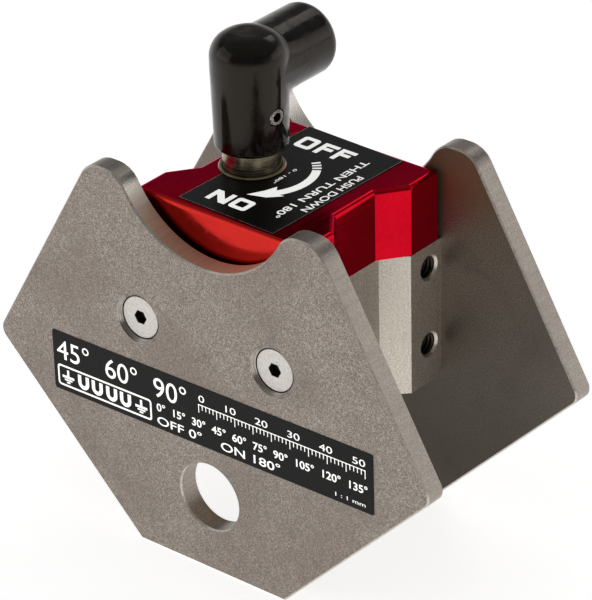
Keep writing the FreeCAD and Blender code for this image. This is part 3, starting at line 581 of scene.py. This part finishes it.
def lettering(name, text, height, width, place, bold=0.0):
    """Printed characters in the built-in face, stretched to a width; height is a capital's."""
    curve = bpy.data.curves.new(name + "_curve", "FONT")
    curve.body = text
    curve.size = height / CAPITAL_SHARE
    curve.extrude = LETTER_HALF_THICKNESS
    curve.offset = bold
    curve.resolution_u = 6
    source = add_object(name + "_source", curve)
    bpy.context.view_layer.update()
    data = bpy.data.meshes.new_from_object(source.evaluated_get(
        bpy.context.evaluated_depsgraph_get()))
    bpy.data.objects.remove(source)
    data.name = name
    across = [vertex.co.x for vertex in data.vertices]
    stretch = width / (max(across) - min(across))
    data.transform(place @ Matrix.Scale(MM, 4) @ Matrix.Diagonal((stretch, 1, 1, 1))
                   @ Matrix.Translation((-min(across), 0, LETTER_HALF_THICKNESS)))
    data.materials.clear()
    data.materials.append(INK)
    piece = add_object(name, data)
    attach(piece, "clamp")
    return piece


# ---------------------------------------------------------------- top label
cap_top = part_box("top_label")[1].z
TOP = Matrix.Translation((0, 0, cap_top))
TOP_TURNED_ROUND = TOP @ Matrix.Rotation(math.pi, 4, "Z")
TOP_SIDEWAYS = TOP @ Matrix.Rotation(-math.pi / 2, 4, "Z")
PRINTED = dict(material=INK, body="clamp", slot="label_black")

OFF_Y, OFF_HEIGHT, STROKE = 12.6, 5.1, 1.15
artwork("mark_off", [letter_o(-8.9, OFF_Y, 4.4, OFF_HEIGHT, STROKE),
                     letter_f(-3.4, OFF_Y, 4.0, OFF_HEIGHT, STROKE),
                     letter_f(1.3, OFF_Y, 4.0, OFF_HEIGHT, STROKE)], TOP, **PRINTED)
ON_Y, ON_HEIGHT, N_STROKE = 12.7, 4.6, 1.2
artwork("mark_on", [letter_o(-2.5, ON_Y, 4.6, ON_HEIGHT, STROKE),
                    letter_n(2.9, ON_Y, 5.2, ON_HEIGHT, N_STROKE)], TOP_TURNED_ROUND, **PRINTED)

# the turn arrow: three dashes, then a curved shaft that swells a little towards its head
ARROW_CENTRE, ARROW_RADIUS = (-7.0, 0.0), 11.8
SHAFT_START, SHAFT_SWEEP, SHAFT_STEPS = 33, 66, 24
TAIL_HALF, SHAFT_SWELL = 0.95, 0.1
HEAD_POINTS = ((2.0, -30), (1.5, -46), (0.3, -65), (-1.6, -46), (-2.6, -29))
DASH_STARTS, DASH_SWEEP, DASH_HALF = (36, 42, 48), 2.9, 0.98
outer, inner = [], []
for step in range(SHAFT_STEPS + 1):
    angle = SHAFT_START - SHAFT_SWEEP * step / SHAFT_STEPS
    half = TAIL_HALF + SHAFT_SWELL * step / SHAFT_STEPS
    outer.append(spot(ARROW_CENTRE, ARROW_RADIUS + half, angle))
    inner.append(spot(ARROW_CENTRE, ARROW_RADIUS - half, angle))
head = [spot(ARROW_CENTRE, ARROW_RADIUS + offset, angle) for offset, angle in HEAD_POINTS]
arrow = [outer + head + inner[::-1]]
for start in DASH_STARTS:
    arrow.append(arc(ARROW_CENTRE, ARROW_RADIUS + DASH_HALF, start, start + DASH_SWEEP, 3)
                 + arc(ARROW_CENTRE, ARROW_RADIUS - DASH_HALF, start + DASH_SWEEP, start, 3))
artwork("mark_turn_arrow", arrow, TOP, **PRINTED)

lettering("mark_push_down", "PUSH DOWN", 1.9, 19.2, moved(TOP_SIDEWAYS, -9.6, 11.45), 0.02)
lettering("mark_then_turn", "THEN TURN 180°", 1.9, 31.0, moved(TOP_SIDEWAYS, -15.8, 8.15), 0.02)
lettering("mark_degrees", "0 - 180°", 0.8, 7.8, moved(TOP_SIDEWAYS, -4.2, -1.2))

# ---------------------------------------------------------------- front label
LABEL_HALF_X, LABEL_HALF_Y, LABEL_CORNER, FOIL_THICKNESS = 44.45, 7.3, 0.5, 0.13
LABEL_TILT = math.radians(0.5)
label_low, label_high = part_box("front_label")
label_middle = (label_low + label_high) / 2
FRONT_BACK = (Matrix.Translation((label_middle.x, label_high.y, label_middle.z))
              @ Matrix.Rotation(math.pi / 2, 4, "X") @ Matrix.Rotation(LABEL_TILT, 4, "Z"))
FRONT = (Matrix.Translation((0, label_low.y - label_high.y + INK_THICKNESS * MM, 0))
         @ FRONT_BACK)
foil_outline = rounded(-LABEL_HALF_X, -LABEL_HALF_Y, LABEL_HALF_X, LABEL_HALF_Y, LABEL_CORNER)
foil = artwork("front_label_foil", [foil_outline], FRONT_BACK, FOIL,
               "clamp", "label_black", thickness=FOIL_THICKNESS)
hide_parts("front_label")
lettering("mark_angles", "45°  60°  90°", 4.95, 37.2, moved(FRONT, -43.3, 0.6))

# a rounded frame with an earth sign at each end and four horseshoe magnets between
FRAME_OUTER, FRAME_INNER = (-43.4, -6.1, -16.2, -0.9), (-42.95, -5.65, -16.65, -1.35)
EARTH_X, MAGNET_X = (-40.4, -19.2), (-35.9, -31.9, -27.7, -23.7)
EARTH_BARS = ((0.3, -3.5, -1.9), (1.7, -4.0, -3.4), (1.1, -4.6, -4.2), (0.5, -5.2, -4.8))
MAGNET_OUTER, MAGNET_INNER, MAGNET_TOP, MAGNET_BEND = 1.6, 0.65, -1.8, -3.6
symbols = [(rounded(*FRAME_OUTER, 0.8), [rounded(*FRAME_INNER, 0.5)])]
for x in EARTH_X:
    symbols += [bar(x - half, low, x + half, high) for half, low, high in EARTH_BARS]
for x in MAGNET_X:
    symbols.append([(x - MAGNET_OUTER, MAGNET_TOP), (x - MAGNET_OUTER, MAGNET_BEND)]
                   + arc((x, MAGNET_BEND), MAGNET_OUTER, 180, 360, 12)
                   + [(x + MAGNET_OUTER, MAGNET_TOP), (x + MAGNET_INNER, MAGNET_TOP)]
                   + arc((x, MAGNET_BEND), MAGNET_INNER, 360, 180, 8)
                   + [(x - MAGNET_INNER, MAGNET_TOP)])
artwork("mark_symbols", symbols, FRONT, **PRINTED)

# the ruler: a tick each millimetre, a longer one each fifth, under one line
RULER_X, RULER_Y, RULER_LENGTH, TICK_HALF, TICK, LONG_TICK = -2.65, 2.8, 45, 0.1, 1.2, 2.0
ticks = []
for i in range(RULER_LENGTH + 1):
    length = LONG_TICK if i % 5 == 0 else TICK
    ticks.append(bar(RULER_X + i - TICK_HALF, RULER_Y - length, RULER_X + i + TICK_HALF, RULER_Y))
ticks.append(bar(RULER_X - TICK_HALF, RULER_Y - TICK_HALF,
                 RULER_X + RULER_LENGTH + TICK_HALF, RULER_Y + TICK_HALF))
artwork("mark_scale", ticks, FRONT, **PRINTED)
lettering("mark_scale_numbers", "0     10     20     30     40     50", 1.7, 45.0,
          moved(FRONT, -2.6, 3.6))
lettering("mark_angle_row", "0°  15°  30°  45°  60°  75°  90°  105°  120°  135°", 1.9, 57.6,
          moved(FRONT, -14.7, -2.85), 0.04)
lettering("mark_turn_row", "OFF 0°    ON 180°", 2.1, 34.2, moved(FRONT, -14.7, -6.2), 0.02)
lettering("mark_unit", "1 : 1 mm", 1.0, 8.0, moved(FRONT, 34.3, -6.1))

# silver rim round the top label, open on the handle's side
RIM_MIDDLE, RIM_TILT = (1.1, 0.3), math.radians(-1.7)
RIM_HALF_X, RIM_HALF_Y, RIM_LINE, RIM_THICKNESS = 13.1, 21.0, 0.11, 0.012
RIM_GAP_LOW, RIM_GAP_HIGH = -6.5, 7.0
rim_place = moved(TOP, *RIM_MIDDLE) @ Matrix.Rotation(RIM_TILT, 4, "Z")
rim = [bar(-RIM_HALF_X, -RIM_HALF_Y, RIM_HALF_X, -RIM_HALF_Y + RIM_LINE),
       bar(RIM_HALF_X - RIM_LINE, -RIM_HALF_Y, RIM_HALF_X, RIM_HALF_Y),
       bar(-RIM_HALF_X, RIM_HALF_Y - RIM_LINE, RIM_HALF_X, RIM_HALF_Y),
       bar(-RIM_HALF_X, -RIM_HALF_Y, -RIM_HALF_X + RIM_LINE, RIM_GAP_LOW),
       bar(-RIM_HALF_X, RIM_GAP_HIGH, -RIM_HALF_X + RIM_LINE, RIM_HALF_Y)]
artwork("label_rim", rim, rim_place, SILVER, "clamp", "label_black", RIM_THICKNESS)


# ---------------------------------------------------------------- threads and painted shade in the tapped holes
# In millimetres. Each hole goes down its own local -Z, from the foot of its mouth's chamfer.
HOLE_RADIUS, HOLE_DEPTH, HOLE_Y, HOLE_Z = 2.5, 9.0, 18.9, (42.7, 61.6)
MOUTH_CHAMFER = 0.5
SHADE_LINER_GAP, SHADE_LINER_DEPTH = 0.02, HOLE_DEPTH - 0.55
THREAD_GAP, THREAD_START, THREAD_DEPTH = 0.03, 0.45, 7.5
THREAD_ROOT_HALF, THREAD_CREST_HALF = 0.42, 0.08


def thread(mesh, place, radius, depth, pitch=1.0, height=0.3, steps=28):
    """Adds one screw-thread ridge that winds down a hole's wall."""
    profile = ((radius, THREAD_ROOT_HALF), (radius - height, THREAD_CREST_HALF),
               (radius - height, -THREAD_CREST_HALF), (radius, -THREAD_ROOT_HALF))
    rows = []
    for i in range(int(depth / pitch * steps) + 1):
        angle = 2 * math.pi * i / steps
        z = -pitch * i / steps
        rows.append([mesh.verts.new(place @ Vector((reach * math.cos(angle),
                                                    reach * math.sin(angle), z + rise)))
                     for reach, rise in profile])
    for first, second in zip(rows, rows[1:]):
        for i in range(4):
            mesh.faces.new((first[i], first[(i + 1) % 4], second[(i + 1) % 4], second[i]))
    mesh.faces.new(rows[0][::-1])
    mesh.faces.new(rows[-1])


def shade_liner(mesh, place, radius, depth, wall=0.015, steps=48):
    """Adds a thin closed cup, painted shade over a hole's wall and end."""
    profile = ((radius, 0), (radius, -depth), (radius - wall, -depth + wall), (radius - wall, 0))
    rings = []
    for reach, z in profile:
        rings.append([mesh.verts.new(place @ Vector((*spot((0, 0), reach, 360 * i / steps), z)))
                      for i in range(steps)])
    for i in range(steps):
        j = (i + 1) % steps
        mesh.faces.new((rings[0][i], rings[1][i], rings[1][j], rings[0][j]))
        mesh.faces.new((rings[2][i], rings[3][i], rings[3][j], rings[2][j]))
        mesh.faces.new((rings[3][i], rings[0][i], rings[0][j], rings[3][j]))
    mesh.faces.new(rings[1])
    mesh.faces.new(rings[2][::-1])


mouth_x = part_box("magnet_body")[1].x / MM - MOUTH_CHAMFER
holes = bmesh.new()
for side in (1, -1):
    outwards = Matrix.Rotation(side * math.pi / 2, 4, "Y")
    for y in (-HOLE_Y, HOLE_Y):
        for z in HOLE_Z:
            mouth = Matrix.Translation((side * mouth_x, y, z)) @ outwards
            shade_liner(holes, mouth, HOLE_RADIUS - SHADE_LINER_GAP, SHADE_LINER_DEPTH)
            thread(holes, mouth @ Matrix.Translation((0, 0, -THREAD_START)),
                   HOLE_RADIUS - THREAD_GAP, THREAD_DEPTH)
bmesh.ops.recalc_face_normals(holes, faces=holes.faces)
holes_data = bpy.data.meshes.new("hole_threads")
holes.to_mesh(holes_data)
holes.free()
holes_data.transform(Matrix.Scale(MM, 4))
holes_data.materials.append(BORE_SHADE)
hole_threads = add_object("hole_threads", holes_data)
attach(hole_threads, "clamp")


# ---------------------------------------------------------------- floor and lights
FLOOR_REACH = 4.0
floor_data = bpy.data.meshes.new("floor")
floor_mesh = bmesh.new()
bmesh.ops.create_grid(floor_mesh, x_segments=2, y_segments=2, size=FLOOR_REACH)
floor_mesh.to_mesh(floor_data)
floor_mesh.free()
floor = add_object("floor", floor_data)
paper = Recipe("paper_floor")
paper.set(Base_Color=paper.ramp(paper.noise(3, 2, 0.5), (0.3, (0.84, 0.84, 0.84, 1)),
                                (0.7, (0.88, 0.88, 0.88, 1))), Roughness=0.9,
          Emission_Color=(1, 1, 1, 1), Emission_Strength=0.74)
floor_data.materials.append(paper.material)

# each: name, position, what it points at, width and height, watts
SOFT_LIGHTS = (("softbox", (-0.13, 1.09, 1.02), (0, 0, 0.05), (0.55, 0.4), 0.9),
               ("key", (-1.3, -1.2, 0.8), (0, 0, 0.05), (1.6, 1.2), 3.6),
               ("back_panel", (1.3, 1.25, 0.62), (0, 0, 0.06), (1.5, 0.8), 2.5))
for name, position, target, (width, height), power in SOFT_LIGHTS:
    light_data = bpy.data.lights.new(name, "AREA")
    light_data.shape = "RECTANGLE"
    light_data.size, light_data.size_y = width, height
    light_data.energy = power
    lamp = add_object(name, light_data)
    lamp.location = position
    aim = Vector(target) - Vector(position)
    lamp.rotation_euler = aim.to_track_quat("-Z", "Y").to_euler()


# ---------------------------------------------------------------- surroundings
# Brightness of the walls by the sine of elevation; the dark wall stands off to one side.
BRIGHT_WALL = ((0.0, 0.9), (0.1, 0.85), (0.3, 0.5), (0.4, 0.22), (0.5, 0.16), (0.66, 0.28),
               (1.0, 0.28))
DARK_WALL = ((0.0, 0.8), (0.08, 0.5), (0.2, 0.14), (0.5, 0.16), (1.0, 0.26))
TO_DARK_WALL = (0.641, -0.767, 0)
DARK_WALL_EDGE, DARK_WALL_FULL = 0.3, 0.75


def wall_tone(tree, rise, steps):
    """Grey of one wall from the sine of elevation."""
    ramp = tree.nodes.new("ShaderNodeValToRGB")
    while len(ramp.color_ramp.elements) < len(steps):
        ramp.color_ramp.elements.new(0.5)
    for element, (position, level) in zip(ramp.color_ramp.elements, steps):
        element.position = position
        element.color = (level, level, level, 1)
    tree.links.new(rise, ramp.inputs["Fac"])
    return ramp.outputs["Color"]


world = bpy.data.worlds.new("studio")
world.use_nodes = True
sky = world.node_tree
direction = sky.nodes.new("ShaderNodeTexCoord").outputs["Generated"]
split = sky.nodes.new("ShaderNodeSeparateXYZ")
sky.links.new(direction, split.inputs[0])
towards = sky.nodes.new("ShaderNodeVectorMath")
towards.operation = "DOT_PRODUCT"
sky.links.new(direction, towards.inputs[0])
towards.inputs[1].default_value = TO_DARK_WALL
share = sky.nodes.new("ShaderNodeMapRange")
share.interpolation_type = "SMOOTHSTEP"
sky.links.new(towards.outputs["Value"], share.inputs["Value"])
share.inputs["From Min"].default_value = DARK_WALL_EDGE
share.inputs["From Max"].default_value = DARK_WALL_FULL
blend = sky.nodes.new("ShaderNodeMix")
blend.data_type = "RGBA"
sky.links.new(share.outputs["Result"], blend.inputs["Factor"])
sky.links.new(wall_tone(sky, split.outputs[2], BRIGHT_WALL), blend.inputs[6])
sky.links.new(wall_tone(sky, split.outputs[2], DARK_WALL), blend.inputs[7])
sky.links.new(blend.outputs[2], sky.nodes["Background"].inputs["Color"])
bpy.context.scene.world = world
bpy.context.scene.view_settings.view_transform = "Standard"


# ---------------------------------------------------------------- camera
AZIMUTH, ELEVATION, ROLL = math.radians(39.89), math.radians(29.20), math.radians(-1.31)
DISTANCE, SHIFT_RIGHT, SHIFT_UP = 0.8346, 0.00026, 0.04734
FOCAL_LENGTH, SENSOR_WIDTH = 225.51, 36
back = Vector((math.sin(AZIMUTH) * math.cos(ELEVATION), -math.cos(AZIMUTH) * math.cos(ELEVATION),
               math.sin(ELEVATION)))
level_right = Vector((math.cos(AZIMUTH), math.sin(AZIMUTH), 0))
level_up = back.cross(level_right)
right = math.cos(ROLL) * level_right + math.sin(ROLL) * level_up
up = math.cos(ROLL) * level_up - math.sin(ROLL) * level_right
camera_data = bpy.data.cameras.new("camera")
camera_data.sensor_width = SENSOR_WIDTH
camera_data.lens = FOCAL_LENGTH
camera_data.clip_start, camera_data.clip_end = 0.01, 50
camera = add_object("camera", camera_data)
orientation = Matrix((right, up, back)).transposed().to_4x4()
camera.matrix_world = Matrix.Translation(SHIFT_RIGHT * right + SHIFT_UP * up
                                         + DISTANCE * back) @ orientation
bpy.context.scene.camera = camera
